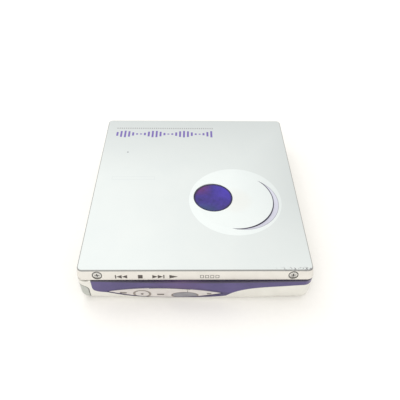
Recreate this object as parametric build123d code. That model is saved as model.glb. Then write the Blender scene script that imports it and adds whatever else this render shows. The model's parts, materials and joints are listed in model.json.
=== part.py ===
from build123d import *

import math
import os

# Pocket player for a small disc cartridge: a flat clamshell whose lid carries the cartridge holder.
# Millimetres, +Z up, origin on the surface it rests on, under the centre of the lid.
# -Y is the key side, -X the hinge side, +X the mouth side and +Y the jack side.

# ---------------------------------------------------------------- overall sizes
LID_X, LID_Y = 74.6, 79.7  # outline of the skirt's foot
HEIGHT = 14.7
FLARE = 0.8  # how far the skirt's foot stands outside the top face
CORNER_R = 2.4
CASE_CORNER_R = 2.9
BULGE = 0.8  # how far the key side swells past the lid at its middle
BULGE_RIGHT = 0.2  # what is left of that swell at the +X corner
BOTTOM_R = 2.8
WALL = 0.9
FLOOR = 0.8

# ---------------------------------------------------------------- lid
SKIRT = 3.9
LID_WALL = 0.7
LID_TOP = 0.6
LID_EDGE_R = 0.45
LID_GAP = 0.2
HINGE_GAP = 0.7
HINGE_SKIRT_UP = 0.5  # how much shorter the skirt is on the hinge side
HINGE_SKIRT_IN = 1.3
HINGE_LOW_IN = 3.8  # how far in from the hinge side the case's rim is lower
PAD_DROP = 0.4  # thickened underside of the lid, round the window
PAD_WALL = 1.0

WINDOW_X, WINDOW_Y, WINDOW_R = 6.4, -7.3, 7.0
WINDOW_T, WINDOW_LEDGE, WINDOW_SINK = 0.3, 0.8, 0.35
GASKET_T = 0.1
SCOOP_X, SCOOP_Y, SCOOP_R, SCOOP_DEPTH = 14.2, -8.8, 13.4, 0.35
CRESCENT_WIDTH, CRESCENT_DEPTH = 2.0, 0.45
CRESCENT_AIM, CRESCENT_HALF = -25.0, 68.5
GROOVE_WIDE, GROOVE_DEEP = 0.22, 0.12

LID_SCREW_IN, LID_SCREW_DROP = 6.9, 2.1
SCREW_SEAT_R, SCREW_HEAD_R, SCREW_HEAD_T, SCREW_SHANK_R = 1.55, 1.3, 0.3, 0.55
SEAT_DEEP = 0.34
CROSS_LONG, CROSS_WIDE, CROSS_DEEP = 1.5, 0.32, 0.16

# ---------------------------------------------------------------- cartridge, holder and mouth
CARTRIDGE_X, CARTRIDGE_Y, CARTRIDGE_Z = 68.0, 72.0, 5.0
HOLDER_PLAY = 0.1
HOLDER_T = 0.25
HOLDER_OVER = 0.1  # clear space between the holder's top and the lid
RAIL_T = 0.4
RAIL_WIDE = 4.2
MOUTH_WALL = 1.25  # the case's wall outside the mouth, at its widest
MOUTH_GAP = 0.35
RETURN_GAP = 0.2
FRAME_IN, FRAME_T = 2.45, 0.4  # how far inside the skirt's foot the lid's rails run

# ---------------------------------------------------------------- hinge
HINGE_IN = 1.7
HINGE_PIN_R, HINGE_EYE_R = 0.5, 0.9
LUG_HIGH = 1.6
EYE_WIDE = 0.8
EYE_ROOM = 0.15  # clear space round each eye in the case and the lid
RUN_FIT = 0.04

# ---------------------------------------------------------------- keys
KEY_FIT = 0.13
KEY_IN = 0.5  # how far the keys' backs lie inside the case's outline
KEY_ROOM = 0.42
MEMBRANE_T, SWITCH_T, KEYBOARD_T = 0.3, 0.35, 0.5
LENS_LEFT, LENS_RIGHT = (-28.1, 4.9), (8.6, 4.4)
LENS_TOP, LENS_LOW = (-12.0, 7.3), (-7.5, 1.95)
STOP_AT, STOP_HALF = (-17.1, 3.9), (2.25, 1.6)
PLAY_AT, PLAY_HALF = (-3.4, 3.3), (3.95, 1.6)
SEAM_TOP, SEAM_LOW = (-2.9, 8.5), (-2.1, 1.0)
TRUNNION_R, TRUNNION_IN = 0.25, 0.62  # its radius, and how deep its axis lies behind the keys' backs
MARK_PROUD = 0.14
SEAM_BELOW = 0.45
MARK_HIGH = 0.45
SKIP_MARKS = ((-23.1, 4.35), (-11.2, 3.75))
LOCATING_DOT, GROUP_MARK = (-8.9, 5.2), (4.4, 4.2)
KEY_STRIP_X, KEY_STRIP_Z = (-30.0, 10.0), (2.6, 7.0)  # where the membrane and its board run
DOME_Z, DOME_R = 4.4, 1.5
DOMES_X = (-24.0, -17.1, -10.5, -3.4, 4.4)
FLEX_T, FLEX_Z = 0.12, (3.2, 6.2)
TRIM_IN, TRIM_END_Z = 4.55, 6.9
TRIM_FALL = (2.3, -2.3)  # from there to the band's lowest point on that side
TRIM_RIGHT_Z = 8.5

# ---------------------------------------------------------------- battery and its door
CELL_X, CELL_Y, CELL_Z = 67.0, 17.0, 6.0
CELL_IN = 1.2  # from the inside of the wall to the cell's end
CELL_PLAY = 0.15
CELL_EDGE_R = 1.2
TUB_WALL = 0.4
DOOR_TOP, DOOR_REACH, DOOR_GAP = 7.5, 3.4, 0.12
DOOR_CORNER_R = 1.6
DOOR_KNUCKLE_R, DOOR_PIN_R = 1.1, 0.4
DOOR_BOSS_R, DOOR_BOSS_TOP = 0.95, 1.9

# ---------------------------------------------------------------- deck, boards and drive
DECK_T, DECK_UNDER = 0.5, 0.25  # its thickness, and its gap to the holder
BOARD_UP, BOARD_T = 0.3, 0.6
POST_IN, POST_R, POST_DOWN = 6.6, 1.3, 0.6
POST_NEAR, POST_FAR = 26.85, 9.85  # from the outline on each side to the post rows
DAMPER_R, DAMPER_NECK_R, DAMPER_UP = 2.0, 1.5, 0.2
DECK_SCREW_R, DECK_SCREW_T, DECK_SHANK_R = 1.35, 0.25, 0.6
HUB_X, HUB_Y = 1.7, -2.0
MOTOR_R, MOTOR_HIGH = 8.9, 3.3
TABLE_R, TABLE_UP, TABLE_T = 7.4, 0.4, 1.1
BOSS_R, BOSS_T = 2.0, 0.9
SHAFT_R = 0.75
LENS_HOME, SLED_TRAVEL = 14.5, 16.5  # lens to hub at home, and how far it goes out
SLED_IN, SLED_OUT = 5.0, 6.5
SLED_DOWN, SLED_HIGH = 0.3, 3.4
ROD_R, ROD_OFF, ROD_DOWN = 0.75, 11.0, 2.2
LEAD_X, LEAD_DOWN, LEAD_R, LEAD_PITCH = -13.0, 2.6, 0.8, 3.0
MODULE, GEAR_TEETH, PINION_TEETH, GEAR_WIDE = 0.25, 18, 9, 1.0
MESH_SLACK = 0.06
SMALL_PIN_R = 0.4
FEED_R, FEED_LONG = 2.2, 12.0

# ---------------------------------------------------------------- side fittings
JACK_IN, JACK_DOWN, JACK_R, JACK_DEEP = 12.3, 2.6, 1.8, 13.0
JACK_WIDE, JACK_HIGH, JACK_RIM = 7.0, 4.8, 0.6
JACK_NOSE_IN, JACK_ROOM = 1.0, 0.1  # how far in the round nose starts, and the deck's clearance round it
OPEN_Y, OPEN_Z, OPEN_LONG, OPEN_HIGH, OPEN_TRAVEL = 20.0, 5.4, 9.0, 3.2, 3.0
HOLD_X, HOLD_Z, HOLD_LONG, HOLD_HIGH, HOLD_TRAVEL = 22.0, 5.4, 5.5, 2.4, 2.0
STEM_LONG, STEM_HIGH, STEM_FIT = 2.4, 1.6, 0.12
LATCH_SPRING_R = 0.35
KNOB_PROUD, KNOB_OFF = 0.55, 0.06
DETECT_X, DETECT_Y, DETECT_R, DETECT_TRAVEL = -28.0, 8.0, 0.6, 0.6

# ---------------------------------------------------------------- worked-out places
HALF_X, HALF_Y = LID_X / 2, LID_Y / 2
FOOT = HEIGHT - SKIRT
CASE_TOP = FOOT - LID_GAP
HINGE_TOP = FOOT - HINGE_GAP
TAPER = math.degrees(math.atan(FLARE / SKIRT))
LEAN = FLARE / SKIRT
HINGE_X, HINGE_Z = -HALF_X + HINGE_IN, FOOT
PAD_Z = HEIGHT - LID_TOP - PAD_DROP
SLOT_TOP = PAD_Z - HOLDER_OVER - HOLDER_T
SLOT_BOTTOM = SLOT_TOP - CARTRIDGE_Z - HOLDER_PLAY
MOUTH_IN = HALF_X - MOUTH_WALL
MOUTH_END = MOUTH_IN - MOUTH_GAP
MOUTH_TOP = HEIGHT - LID_TOP - LID_GAP
HOLDER_LEFT = MOUTH_END - CARTRIDGE_X - HOLDER_PLAY - HOLDER_T
HOLDER_HALF = CARTRIDGE_Y / 2 + HOLDER_PLAY
MOUTH_HALF = HOLDER_HALF - RETURN_GAP
FRAME_Y = HALF_Y - FRAME_IN
LID_SCREW_X = HALF_X - LID_SCREW_IN
SCREW_Z = HEIGHT - LID_SCREW_DROP
TRIM_LEFT = -HALF_X + TRIM_IN
KEY_BACK = HALF_Y - KEY_IN
MEMBRANE_Y = -KEY_BACK + KEY_ROOM
SWITCH_Y = MEMBRANE_Y + MEMBRANE_T
KEYBOARD_Y = SWITCH_Y + SWITCH_T
TUB_Y0 = KEYBOARD_Y + KEYBOARD_T + 0.1
CELL_Y0 = TUB_Y0 + TUB_WALL + CELL_PLAY
CELL_Y1 = CELL_Y0 + CELL_Y
TUB_Y1 = CELL_Y1 + CELL_PLAY + TUB_WALL
CELL_Z0 = FLOOR + CELL_PLAY
CELL_LEFT = -HALF_X + WALL + CELL_IN
CELL_RIGHT = CELL_LEFT + CELL_X
DOOR_X = -HALF_X + DOOR_KNUCKLE_R
DOOR_Y = CELL_Y1 + CELL_PLAY + DOOR_KNUCKLE_R
BOARD_Z = FLOOR + BOARD_UP
BOARD_TOP = BOARD_Z + BOARD_T
BOARD_Y0 = TUB_Y1 + 0.3
DECK_TOP = SLOT_BOTTOM - RAIL_T - DECK_UNDER
DECK_Z = DECK_TOP - DECK_T
DECK_X = HALF_X - WALL - 1.4
DECK_Y0, DECK_Y1 = TUB_Y0 + 0.6, HALF_Y - WALL - 0.8
DAMPER_TOP = DECK_TOP + DAMPER_UP
POST_X, POST_TOP = HALF_X - POST_IN, DECK_Z - POST_DOWN
MOTOR_Z = DECK_Z - MOTOR_HIGH
TABLE_Z = DECK_TOP + TABLE_UP
SLED_Z1 = DECK_Z - SLED_DOWN
SLED_Z0 = SLED_Z1 - SLED_HIGH
ROD_Z = DECK_Z - ROD_DOWN
LEAD_Z = DECK_Z - LEAD_DOWN
JACK_X, JACK_Z = -HALF_X + JACK_IN, DECK_Z - JACK_DOWN
JACK_NOSE_R = JACK_R + JACK_RIM
LOCK_END = FRAME_Y
POSTS = [(x, y) for x in (-POST_X, POST_X) for y in (-HALF_Y + POST_NEAR, HALF_Y - POST_FAR)]
BOARD_FEET = [(-20.0, -14.0), (22.0, -14.0), (24.0, 20.0)]
LENS_Y = HUB_Y + LENS_HOME
SLED_Y0, SLED_Y1 = LENS_Y - SLED_IN, LENS_Y + SLED_OUT
GEAR_R, PINION_R = MODULE * GEAR_TEETH / 2, MODULE * PINION_TEETH / 2
MESH = GEAR_R + PINION_R + MESH_SLACK
REDUCE_X, REDUCE_Z = LEAD_X - MESH, LEAD_Z
FEED_X, FEED_Z = REDUCE_X - MESH, LEAD_Z
BRACKET_Y, BRACKET_T = 0.4, 0.6
TRAIN_Y = BRACKET_Y + BRACKET_T + 0.2
LEAD_GEAR_Y = TRAIN_Y + GEAR_WIDE + 0.2
FAR_TAB_Y = DECK_Y1 - 1.2
BIG = 200.0

parts = {}


# ---------------------------------------------------------------- helpers
def block(x, y, z):
    """A box from three (low, high) pairs."""
    size = [high - low for low, high in (x, y, z)]
    middle = [(high + low) / 2 for low, high in (x, y, z)]
    return Pos(*middle) * Box(*size)


def rod(axis, at, radius, start, end):
    """A cylinder along "x", "y" or "z"; at is its place on the other two axes, in order."""
    turn = {"x": Rot(0, 90, 0), "y": Rot(-90, 0, 0), "z": Rot(0, 0, 0)}[axis]
    middle, (a, b) = (start + end) / 2, at
    place = {"x": (middle, a, b), "y": (a, middle, b), "z": (a, b, middle)}[axis]
    return Pos(*place) * turn * Cylinder(radius, end - start)


def ring(axis, at, outer, inner, start, end):
    return rod(axis, at, outer, start, end) - rod(axis, at, inner, start - 1, end + 1)


def prism_y(face_xz, y0, y1):
    """A face drawn in (x, z), made into a prism from y0 to y1."""
    return Pos(0, y0, 0) * extrude(Rot(90, 0, 0) * face_xz, amount=y1 - y0, dir=(0, 1, 0))


def prism_x(face_yz, x0, x1):
    """A face drawn in (y, z), made into a prism from x0 to x1."""
    turned = Rot(0, 0, 90) * (Rot(90, 0, 0) * face_yz)
    return Pos(x0, 0, 0) * extrude(turned, amount=x1 - x0, dir=(1, 0, 0))


def outline(*points):
    return make_face(Polyline(*points, points[0]))


def group(shapes):
    return Compound(children=[solid for shape in shapes for solid in shape.solids()])


def far_copy(shape):
    return mirror(shape, about=Plane.XZ)


def screw(radius, thickness, shank, length):
    """A cross-head screw on the Z axis, its head's top at z = 0, pointing down."""
    body = rod("z", (0, 0), radius, -thickness, 0) + rod("z", (0, 0), shank, -thickness - length, 0)
    body -= Pos(0, 0, -CROSS_DEEP / 2) * Box(CROSS_LONG, CROSS_WIDE, CROSS_DEEP)
    body -= Pos(0, 0, -CROSS_DEEP / 2) * Box(CROSS_WIDE, CROSS_LONG, CROSS_DEEP)
    return body


def gear_face(teeth, phase):
    """A toothed disc in the XY plane; phase is the angle in degrees of one tooth's middle."""
    pitch_r = MODULE * teeth / 2
    step = 360 / teeth
    shape = ((pitch_r - 1.3 * MODULE, 0.29), (pitch_r + 0.8 * MODULE, 0.1))
    corners = []
    for tooth in range(teeth):
        middle = phase + tooth * step
        for radius, half in (shape[0], shape[1]):
            corners.append((radius, middle - half * step))
        for radius, half in (shape[1], shape[0]):
            corners.append((radius, middle + half * step))
    points = [(r * math.cos(math.radians(a)), r * math.sin(math.radians(a))) for r, a in corners]
    return outline(*points)


def gear_y(teeth, at, bore, start, phase):
    face = Pos(*at) * gear_face(teeth, phase)
    return prism_y(face, start, start + GEAR_WIDE) - rod("y", at, bore, start - 1, start + GEAR_WIDE + 1)


# ---------------------------------------------------------------- outlines and blanks
def lid_form(inset, top):
    """The lid's outside, drawn in by inset, from the skirt's foot up to top."""
    foot = RectangleRounded(LID_X - 2 * inset, LID_Y - 2 * inset, CORNER_R - inset)
    return Pos(0, 0, FOOT) * extrude(foot, amount=top - FOOT, taper=TAPER)


def case_plan(inset=0.0):
    """The case from above: a rectangle whose key side swells out in a shallow arc."""
    near = ThreePointArc((-HALF_X, -HALF_Y), (0, -HALF_Y - BULGE), (HALF_X, -HALF_Y - BULGE_RIGHT))
    right = (HALF_X, -HALF_Y - BULGE_RIGHT)
    rest = Polyline(right, (HALF_X, HALF_Y), (-HALF_X, HALF_Y), (-HALF_X, -HALF_Y))
    face = make_face([near, rest])
    face = fillet(face.vertices(), CASE_CORNER_R)
    return offset(face, amount=-inset) if inset else face


def case_blank():
    """The whole outside of the lower body as one solid."""
    body = extrude(case_plan(), amount=CASE_TOP)
    body = fillet(body.faces().sort_by(Axis.Z)[0].edges(), BOTTOM_R)
    lean = HALF_X - (MOUTH_TOP - FOOT) * LEAN
    wall = outline((MOUTH_IN, FLOOR), (HALF_X - 0.01, FLOOR + 3), (HALF_X - 0.01, FOOT), (lean, MOUTH_TOP),
                   (MOUTH_IN, MOUTH_TOP))
    body += prism_y(wall, -MOUTH_HALF, MOUTH_HALF)
    low = block((-BIG, -HALF_X + HINGE_LOW_IN), (-BIG, BIG), (HINGE_TOP, BIG))
    return body - low


def case_cavity():
    hollow = Pos(0, 0, FLOOR) * extrude(case_plan(WALL), amount=BIG)
    hollow = fillet(hollow.faces().sort_by(Axis.Z)[0].edges(), BOTTOM_R - WALL)
    mouth = block((MOUTH_IN, BIG), (-MOUTH_HALF - 0.1, MOUTH_HALF + 0.1), (CASE_TOP - 0.5, BIG))
    return hollow - mouth


def lens_face(inset=0.0):
    """The pointed opening that the keys fill, in (x, z)."""
    face = make_face([ThreePointArc(LENS_LEFT, LENS_TOP, LENS_RIGHT),
                      ThreePointArc(LENS_RIGHT, LENS_LOW, LENS_LEFT)])
    return offset(face, amount=-inset, kind=Kind.INTERSECTION) if inset else face


def trim_face():
    """The coloured band on the key side, in (x, z), with its tail under the keys."""
    out, tail = HALF_X + 3, (LENS_RIGHT[0] + 1.3, 2.95)
    low_left = (TRIM_LEFT + TRIM_FALL[0], TRIM_END_Z + TRIM_FALL[1])
    join = (LENS_LEFT[0], LENS_LEFT[1] - SEAM_BELOW - 0.1)
    edges = [
        Polyline((out, TRIM_RIGHT_Z), (out, BIG), (TRIM_LEFT, BIG), (TRIM_LEFT, TRIM_END_Z)),
        Spline((TRIM_LEFT, TRIM_END_Z), low_left, tangents=[(0, -1), (1, -0.15)]),
        Line(low_left, join),
        ThreePointArc(join, (LENS_LOW[0], LENS_LOW[1] - SEAM_BELOW), tail),
        Spline(tail, (tail[0] + 3.3, 5.3), (HALF_X - 11.3, TRIM_RIGHT_Z - 0.85), (out, TRIM_RIGHT_Z),
               tangents=[(0.7, 0.7), (1, 0.05)]),
    ]
    return make_face(edges)


def side_trim_face():
    """How that band runs back along the +X side, in (y, z), rising until it ends."""
    start, end = (-HALF_Y - 4, TRIM_RIGHT_Z - 0.05), (-14.0, CASE_TOP + 0.5)
    low = Spline(start, (-30.0, TRIM_RIGHT_Z + 0.3), end, tangents=[(1, 0.0), (1, 0.28)])
    return make_face([low, Polyline(end, (-HALF_Y - 4, CASE_TOP + 0.5), start)])


# ---------------------------------------------------------------- lower body
def door_zone(gap):
    """The corner that the battery door fills, shrunk by gap: the side wall and a lip round the corner."""
    reach, top = -HALF_X + DOOR_REACH - gap, DOOR_TOP - gap
    low = FLOOR + gap
    face = outline((-BIG, low), (reach, low), (reach, top), (-BIG, top))
    corner = face.vertices().group_by(Axis.X)[-1].sort_by(Axis.Y)[-1]
    side_face = fillet(corner, DOOR_CORNER_R)
    tall = prism_y(side_face, -BIG, DOOR_Y)
    near = tall & block((-BIG, BIG), (-BIG, -HALF_Y + WALL + 0.05), (0, BIG))
    side = tall & block((-BIG, -HALF_X + WALL), (-BIG, DOOR_Y), (0, BIG))
    return near + side


def knuckle(radius, gap):
    return rod("z", (DOOR_X, DOOR_Y), radius, DOOR_BOSS_TOP + gap, DOOR_TOP - gap)


def make_lower_body():
    blank, cavity = case_blank(), case_cavity()
    shell = blank - cavity
    trim_zone = prism_y(trim_face(), -BIG, -HALF_Y + WALL + 0.1)
    side_zone = prism_x(side_trim_face(), HALF_X - WALL - 0.05, BIG)
    trim = shell & (trim_zone + side_zone)
    trim -= block((HALF_X - 6, BIG), (-MOUTH_HALF, BIG), (CASE_TOP, BIG))
    well = prism_y(lens_face(), -BIG, -HALF_Y + WALL + 0.1)
    trunnion_hole = rod("z", (STOP_AT[0], -KEY_BACK - TRUNNION_IN), TRUNNION_R + RUN_FIT, 6.0, 7.7)
    case = shell - trim - well
    trim = trim - well - trunnion_hole

    door_skin = (shell & door_zone(DOOR_GAP)) - case_plan_hole()
    door = door_skin + (knuckle(DOOR_KNUCKLE_R, DOOR_GAP) & blank)
    boss_room = rod("z", (DOOR_X, DOOR_Y), DOOR_BOSS_R + DOOR_GAP, 0, DOOR_BOSS_TOP + DOOR_GAP)
    pin_at = (DOOR_X, DOOR_Y)
    door -= boss_room
    door -= rod("z", pin_at, DOOR_PIN_R + RUN_FIT, 0, 12)

    case -= door_zone(0)
    case -= block((-BIG, CELL_LEFT + 1), (CELL_Y0 - CELL_PLAY, CELL_Y1 + CELL_PLAY), (FLOOR + 0.05, DOOR_TOP))
    case -= rod("z", pin_at, DOOR_KNUCKLE_R + DOOR_GAP, FLOOR, DOOR_TOP)
    swing = (DOOR_Y - DOOR_GAP, DOOR_Y + DOOR_KNUCKLE_R + DOOR_GAP)
    case -= block((-BIG, DOOR_X), swing, (FLOOR, DOOR_TOP))
    case += rod("z", pin_at, DOOR_BOSS_R, FLOOR - 0.2, DOOR_BOSS_TOP) & blank
    case += rod("z", pin_at, DOOR_BOSS_R, DOOR_TOP, DOOR_TOP + 1.0) & blank
    case -= rod("z", pin_at, DOOR_PIN_R, FLOOR, DOOR_TOP + 0.8)
    pin = rod("z", pin_at, DOOR_PIN_R, FLOOR, DOOR_TOP + 0.8)

    for x, y in POSTS:
        case += rod("z", (x, y), POST_R, FLOOR - 0.1, POST_TOP)
        case -= rod("z", (x, y), DECK_SHANK_R, POST_TOP - 3, POST_TOP + 1)
    for x, y in BOARD_FEET:
        case += rod("z", (x, y), 1.0, FLOOR - 0.1, BOARD_Z)
    case -= eye_room()
    for side in (-1, 1):
        case += hinge_lug(side)
    case -= rod("y", (JACK_X, JACK_Z), JACK_NOSE_R, HALF_Y - 2, HALF_Y + 2)
    case -= knob_slot("x")
    case -= knob_slot("y")
    parts["bottom_case"], parts["side_trim"] = case, trim
    parts["battery_door"], parts["door_pin"] = door, pin
    return blank


def case_plan_hole():
    """Room just inside the door so that its skin is one even thickness."""
    return block((-HALF_X + WALL, 0), (-HALF_Y + WALL + 0.05, HALF_Y), (-1, BIG))


def eye_room():
    """Space round the lid's hinge eyes, cut from the corners beside them."""
    y0, y1 = FRAME_Y + FRAME_T - EYE_WIDE - 0.05, FRAME_Y + FRAME_T + EYE_ROOM
    room = rod("y", (HINGE_X, HINGE_Z), HINGE_EYE_R + EYE_ROOM, y0, y1)
    return room + far_copy(room)


def hinge_lug(side):
    """A rounded ear on the case that one hinge pin is pressed into."""
    outer = FRAME_Y + FRAME_T - EYE_WIDE - 0.1
    y0, y1 = sorted((side * (outer - EYE_WIDE), side * outer))
    ear = rod("y", (HINGE_X, HINGE_Z), HINGE_EYE_R, y0, y1)
    ear += block((-HALF_X + 0.5, HINGE_X + HINGE_EYE_R), (y0, y1), (HINGE_TOP - LUG_HIGH, HINGE_TOP - 0.02))
    ear += block((HINGE_X - 0.55, HINGE_X + HINGE_EYE_R), (y0, y1), (HINGE_TOP - LUG_HIGH, HINGE_Z))
    return ear - rod("y", (HINGE_X, HINGE_Z), HINGE_PIN_R, y0 - 1, y1 + 1)


def knob_slot(way):
    """The slot in the wall for a sliding knob's stem, as long as its travel."""
    high = STEM_HIGH / 2 + STEM_FIT
    if way == "x":
        spread = (HOLD_X - STEM_LONG / 2 - STEM_FIT, HOLD_X + STEM_LONG / 2 + HOLD_TRAVEL + STEM_FIT)
        return block(spread, (HALF_Y - WALL - 1, BIG), (HOLD_Z - high, HOLD_Z + high))
    spread = (OPEN_Y - STEM_LONG / 2 - OPEN_TRAVEL - STEM_FIT, OPEN_Y + STEM_LONG / 2 + STEM_FIT)
    return block((HALF_X - WALL - 1.5, BIG), spread, (OPEN_Z - high, OPEN_Z + high))


# ---------------------------------------------------------------- keys
def key_ellipse(at, half, grow):
    return prism_y(Pos(*at) * Ellipse(half[0] + grow, half[1] + grow), -BIG, BIG)


def raised_mark(blank, at, wide, high):
    """A small bar that stands proud of the key face, following its curve."""
    face = Pos(*at) * RectangleRounded(wide, high, min(wide, high) * 0.45)
    skin = prism_y(face, -BIG, -KEY_BACK - 0.2)
    return skin & (Pos(0, -MARK_PROUD, 0) * blank)


def make_keys(blank):
    front = blank & block((-BIG, BIG), (-BIG, -KEY_BACK), (-BIG, BIG))
    plate = front & prism_y(lens_face(KEY_FIT), -BIG, BIG)
    stop_hole = key_ellipse(STOP_AT, STOP_HALF, KEY_FIT)
    play_hole = key_ellipse(PLAY_AT, PLAY_HALF, KEY_FIT)
    half_gap = KEY_FIT / 2
    left = outline((-BIG, -9), (SEAM_LOW[0] - half_gap, -9), SEAM_LOW, SEAM_TOP, (SEAM_TOP[0], 30), (-BIG, 30))
    left_zone = prism_y(Pos(-half_gap, 0) * left, -BIG, BIG)
    right_zone = prism_y(Pos(half_gap, 0) * left, -BIG, BIG)

    rocker = (plate & left_zone) - stop_hole - play_hole
    for at in SKIP_MARKS:
        rocker += raised_mark(blank, at, 2.2, MARK_HIGH)
    rocker += raised_mark(blank, LOCATING_DOT, 0.5, 1.1)
    rocker = biggest(rocker)
    rocker += rod("z", (STOP_AT[0], -KEY_BACK - TRUNNION_IN), TRUNNION_R, 6.3, 7.5)
    parts["skip_rocker"] = rocker
    stop = (front & key_ellipse(STOP_AT, STOP_HALF, 0) & prism_y(lens_face(KEY_FIT), -BIG, BIG))
    parts["stop_key"] = stop + raised_mark(blank, STOP_AT, 0.7, 0.7)
    parts["play_key"] = front & key_ellipse(PLAY_AT, PLAY_HALF, 0) & prism_y(lens_face(KEY_FIT), -BIG, BIG)
    group_key = biggest((plate - right_zone) - play_hole)
    parts["group_key"] = group_key + raised_mark(blank, GROUP_MARK, 1.4, 0.4)


def biggest(shape):
    """Only the largest solid, where a seam has left a crumb beside it."""
    return shape.solids().sort_by(SortBy.VOLUME)[-1]


def make_key_board():
    parts["key_membrane"] = block(KEY_STRIP_X, (MEMBRANE_Y, SWITCH_Y), KEY_STRIP_Z)
    domes = [rod("y", (x, DOME_Z), DOME_R, SWITCH_Y, KEYBOARD_Y) for x in DOMES_X]
    parts["key_switches"] = group(domes)
    parts["key_board"] = block(KEY_STRIP_X, (KEYBOARD_Y, KEYBOARD_Y + KEYBOARD_T), KEY_STRIP_Z)
    x1 = HALF_X - WALL - 0.7
    near = block((KEY_STRIP_X[1], x1), (KEYBOARD_Y, KEYBOARD_Y + FLEX_T), FLEX_Z)
    side = block((x1 - FLEX_T, x1), (KEYBOARD_Y, BOARD_Y0 + 1.5), FLEX_Z)
    parts["key_flex"] = near + side


# ---------------------------------------------------------------- battery
def make_battery():
    cell = block((CELL_LEFT, CELL_RIGHT), (CELL_Y0, CELL_Y1), (CELL_Z0, CELL_Z0 + CELL_Z))
    parts["battery_cell"] = fillet(cell.edges().filter_by(Axis.X), CELL_EDGE_R)
    right = CELL_RIGHT + 1.4
    tub = block((CELL_LEFT + 1.0, right + TUB_WALL), (TUB_Y0, TUB_Y1), (FLOOR, DECK_Z - 0.2))
    tub -= block((-BIG, BIG), (TUB_Y0 - 1, TUB_Y0 + TUB_WALL), (0, FLOOR + 0.2))
    inside = (TUB_Y0 + TUB_WALL, TUB_Y1 - TUB_WALL)
    parts["battery_tub"] = tub - block((-BIG, right), inside, (0, BIG))
    leaf = outline((right, 2.0), (right, 6.2), (right - 0.3, 6.2), (CELL_RIGHT, 4.4), (CELL_RIGHT, 3.8),
                   (right - 0.3, 2.0))
    middle = (CELL_Y0 + CELL_Y1) / 2
    parts["battery_terminal"] = prism_y(leaf, middle - 2.5, middle + 2.5)
    inner = -HALF_X + WALL
    spring = outline((inner, 2.4), (inner, 6.2), (inner + 0.2, 6.2), (CELL_LEFT - 0.1, 4.5),
                     (CELL_LEFT - 0.1, 3.9), (inner + 0.2, 2.4))
    parts["door_contact"] = prism_y(spring, middle - 3.0, middle + 3.0)


# ---------------------------------------------------------------- deck and drive
def make_deck():
    deck = block((-DECK_X, DECK_X - 0.4), (DECK_Y0, DECK_Y1), (DECK_Z, DECK_TOP))
    deck -= rod("z", (HUB_X, HUB_Y), 3.0, 0, 20)
    deck -= block((HUB_X - 5.2, HUB_X + 5.2), (LENS_Y - 4.4, LENS_Y + SLED_TRAVEL + 4.4), (0, 20))
    deck -= rod("z", (DETECT_X, DETECT_Y), DETECT_R + RUN_FIT, 0, 20)
    for x, y in POSTS:
        deck -= rod("z", (x, y), DAMPER_NECK_R, 0, 20)
    for x in (HUB_X - ROD_OFF, HUB_X + ROD_OFF):
        for y in (SLED_Y0 - 1.6, FAR_TAB_Y):
            tab = block((x - 1.4, x + 1.4), (y, y + 1.2), (ROD_Z - 1.3, DECK_Z + 0.1))
            deck += tab - rod("y", (x, ROD_Z), ROD_R, y - 1, y + 3)
    tab = block((LEAD_X - 1.3, LEAD_X + 1.3), (FAR_TAB_Y, FAR_TAB_Y + 1.2), (LEAD_Z - 1.3, DECK_Z + 0.1))
    deck += tab - rod("y", (LEAD_X, LEAD_Z), LEAD_R + RUN_FIT, FAR_TAB_Y - 1, FAR_TAB_Y + 3)
    notch_x = -HALF_X + WALL + 2.6
    deck -= block((-BIG, notch_x), (-BIG, DOOR_Y + 2), (0, 20))
    deck -= rod("y", (JACK_X, JACK_Z), JACK_NOSE_R + JACK_ROOM, HALF_Y - WALL - JACK_NOSE_IN - JACK_ROOM, BIG)
    parts["deck_chassis"] = deck

    dampers, screws = [], []
    for x, y in POSTS:
        damper = rod("z", (x, y), DAMPER_R, POST_TOP, DECK_Z) + rod("z", (x, y), DAMPER_R, DECK_TOP, DAMPER_TOP)
        damper += rod("z", (x, y), DAMPER_NECK_R, POST_TOP, DAMPER_TOP)
        dampers.append(damper - rod("z", (x, y), DECK_SHANK_R, 0, 20))
        top = DAMPER_TOP + DECK_SCREW_T
        screws.append(Pos(x, y, top) * screw(DECK_SCREW_R, DECK_SCREW_T, DECK_SHANK_R, top - POST_TOP + 2))
    parts["deck_dampers"], parts["deck_screws"] = group(dampers), group(screws)


def make_boards():
    x1, y1 = HALF_X - WALL - 1.6, HALF_Y - WALL - 1.5
    board = block((-x1 + 0.4, x1), (BOARD_Y0, y1), (BOARD_Z, BOARD_TOP))
    for x, y in POSTS:
        board -= rod("z", (x, y), POST_R + 0.2, 0, 9)
    parts["main_board"] = board
    chips = [((-4, 6), (12, 22), 0.9), ((12, 20), (-12, -4), 1.0), ((15, 27), (2, 14), 1.0),
             ((20, 24), (24, 28), 0.9), ((-32, -26), (-4, 3), 1.1), ((-8, -4), (28, 31), 0.8),
             ((12, 14), (26, 29), 1.0), ((-31, -27), (14, 19), 1.0), ((30, 33), (0, 6), 1.6)]
    parts["board_chips"] = group([block(x, y, (BOARD_TOP, BOARD_TOP + h)) for x, y, h in chips])


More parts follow.
